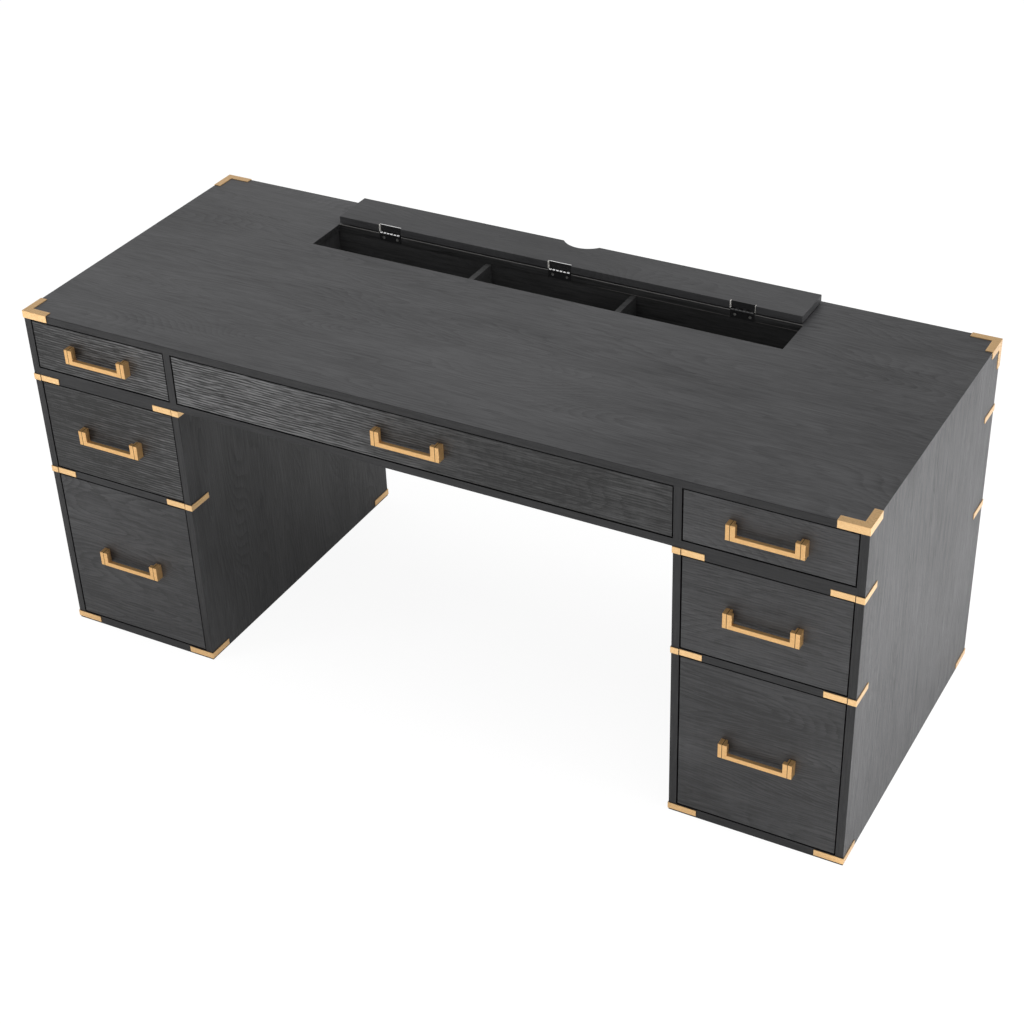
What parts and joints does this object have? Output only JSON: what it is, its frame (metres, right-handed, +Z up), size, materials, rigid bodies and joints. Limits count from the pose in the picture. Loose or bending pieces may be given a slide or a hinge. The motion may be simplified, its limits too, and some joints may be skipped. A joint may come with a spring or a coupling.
{
  "type": "pedestal desk",
  "caption": "Straight double-pedestal desk with drawers in both pedestals and over the kneehole, brass campaign corners and pulls, and a lidded cable compartment in the top.",
  "frame": {"origin": "on the floor under the middle of the wooden case, left to right and front to back", "axes": "+X to the right as seen by someone facing the drawers, +Y from the drawers to the rear, +Z up; the drawers open along -Y"},
  "size_m": [1.803, 0.741, 0.783],
  "materials": {
    "black_wood": "satin black stain over open grain",
    "drawer_wood": "matt black stain",
    "brass": "satin",
    "black_steel": "black semi-gloss",
    "zinc_steel": "zinc plated"
  },
  "bodies": {
    "case": {"bay_dividers": "black_wood", "case_back": "black_wood", "case_divider_left": "black_wood", "case_divider_right": "black_wood", "case_floor": "black_wood", "compartment_front_wall": "black_wood", "compartment_rear_wall": "black_wood", "desk_top": "black_wood", "floor_straps": "brass", "hinge_leaves": "black_steel", "hinge_pins": "black_steel", "hinge_screws": "zinc_steel", "mid_rail_left": "black_wood", "mid_rail_right": "black_wood", "pedestal_back_left": "black_wood", "pedestal_back_right": "black_wood", "pedestal_bottom_left": "black_wood", "pedestal_bottom_right": "black_wood", "pedestal_panel_left": "black_wood", "pedestal_panel_right": "black_wood", "pedestal_top_left": "black_wood", "pedestal_top_right": "black_wood", "rail_strips": "brass", "rear_straps": "brass", "side_panel_left": "black_wood", "side_panel_right": "black_wood", "slide_channels": "zinc_steel", "stile_straps": "brass", "top_corner_brackets": "brass"},
    "lid": {"compartment_lid": "black_wood", "lid_leaves": "black_steel", "lid_screws": "black_steel"},
    "drawer_top_left": {"drawer_front_top_left": "black_wood", "drawer_box_top_left": "drawer_wood", "pull_top_left": "brass", "slide_rails_top_left": "zinc_steel"},
    "drawer_top_centre": {"drawer_front_top_centre": "black_wood", "drawer_box_top_centre": "drawer_wood", "pull_top_centre": "brass", "slide_rails_top_centre": "zinc_steel"},
    "drawer_top_right": {"drawer_front_top_right": "black_wood", "drawer_box_top_right": "drawer_wood", "pull_top_right": "brass", "slide_rails_top_right": "zinc_steel"},
    "drawer_middle_left": {"drawer_front_middle_left": "black_wood", "drawer_box_middle_left": "drawer_wood", "pull_middle_left": "brass", "slide_rails_middle_left": "zinc_steel"},
    "drawer_middle_right": {"drawer_front_middle_right": "black_wood", "drawer_box_middle_right": "drawer_wood", "pull_middle_right": "brass", "slide_rails_middle_right": "zinc_steel"},
    "drawer_file_left": {"drawer_front_file_left": "black_wood", "drawer_box_file_left": "drawer_wood", "pull_file_left": "brass", "slide_rails_file_left": "zinc_steel"},
    "drawer_file_right": {"drawer_front_file_right": "black_wood", "drawer_box_file_right": "drawer_wood", "pull_file_right": "brass", "slide_rails_file_right": "zinc_steel"}
  },
  "joints": [
    {"name": "top_left_slide", "type": "slide", "parent": "case", "child": "drawer_top_left", "axis": [0, -1, 0], "range_m": [0, 0.41]},
    {"name": "top_centre_slide", "type": "slide", "parent": "case", "child": "drawer_top_centre", "axis": [0, -1, 0], "range_m": [0, 0.335]},
    {"name": "top_right_slide", "type": "slide", "parent": "case", "child": "drawer_top_right", "axis": [0, -1, 0], "range_m": [0, 0.41]},
    {"name": "middle_left_slide", "type": "slide", "parent": "case", "child": "drawer_middle_left", "axis": [0, -1, 0], "range_m": [0, 0.41]},
    {"name": "middle_right_slide", "type": "slide", "parent": "case", "child": "drawer_middle_right", "axis": [0, -1, 0], "range_m": [0, 0.41]},
    {"name": "file_left_slide", "type": "slide", "parent": "case", "child": "drawer_file_left", "axis": [0, -1, 0], "range_m": [0, 0.41]},
    {"name": "file_right_slide", "type": "slide", "parent": "case", "child": "drawer_file_right", "axis": [0, -1, 0], "range_m": [0, 0.41]},
    {"name": "lid_hinge", "type": "hinge", "parent": "case", "child": "lid", "pos_m": [0, 0.2502, 0.7655], "axis": [1, 0, 0], "range_deg": [0, 180]}
  ]
}
